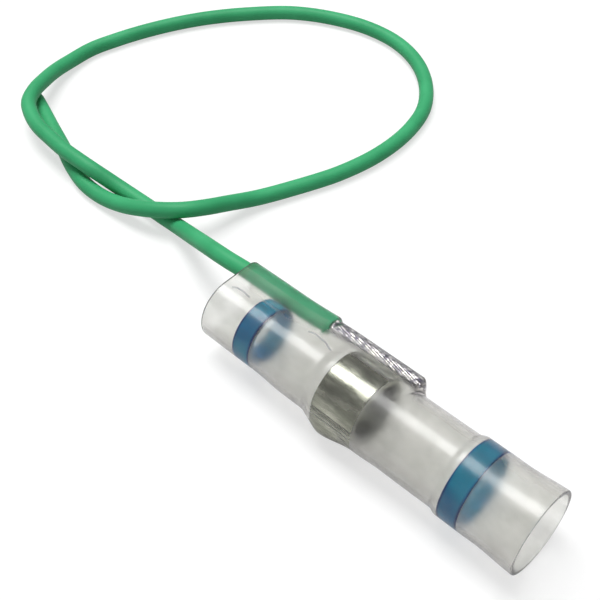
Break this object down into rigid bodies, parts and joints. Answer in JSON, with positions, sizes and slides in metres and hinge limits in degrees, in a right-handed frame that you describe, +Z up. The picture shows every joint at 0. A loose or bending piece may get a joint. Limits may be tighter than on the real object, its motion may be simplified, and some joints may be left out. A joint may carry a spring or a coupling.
{
  "type": "solder seal wire connector",
  "caption": "Clear heat-shrink solder connector with a solder band, blue sealing rings and a looped green lead fitted at one end.",
  "frame": {"origin": "on the table, under the middle of the sleeve's box", "axes": "+X along the sleeve towards its open end, +Z up, the lead leaves at -X"},
  "size_m": [0.0618, 0.0398, 0.0062],
  "materials": {
    "clear_sleeve": "clear heat-shrink plastic, slightly hazy, glossy",
    "sealing_blue": "blue meltable sealing plastic, satin",
    "solder": "dull silver solder with faint creases",
    "lead_green": "satin green insulation",
    "tinned_strand": "bright tinned copper"
  },
  "bodies": {
    "root": {"shrink_sleeve": "clear_sleeve", "sealing_ring_lead_end": "sealing_blue", "sealing_ring_open_end": "sealing_blue", "solder_ring": "solder", "lead_insulation": "lead_green", "strand_01": "tinned_strand", "strand_02": "tinned_strand", "strand_03": "tinned_strand", "strand_04": "tinned_strand", "strand_05": "tinned_strand", "strand_06": "tinned_strand", "strand_07": "tinned_strand", "strand_08": "tinned_strand", "strand_09": "tinned_strand", "strand_10": "tinned_strand", "strand_11": "tinned_strand", "strand_12": "tinned_strand", "strand_13": "tinned_strand", "strand_14": "tinned_strand", "strand_15": "tinned_strand", "strand_16": "tinned_strand", "strand_17": "tinned_strand", "strand_18": "tinned_strand", "strand_19": "tinned_strand"}
  },
  "joints": []
}
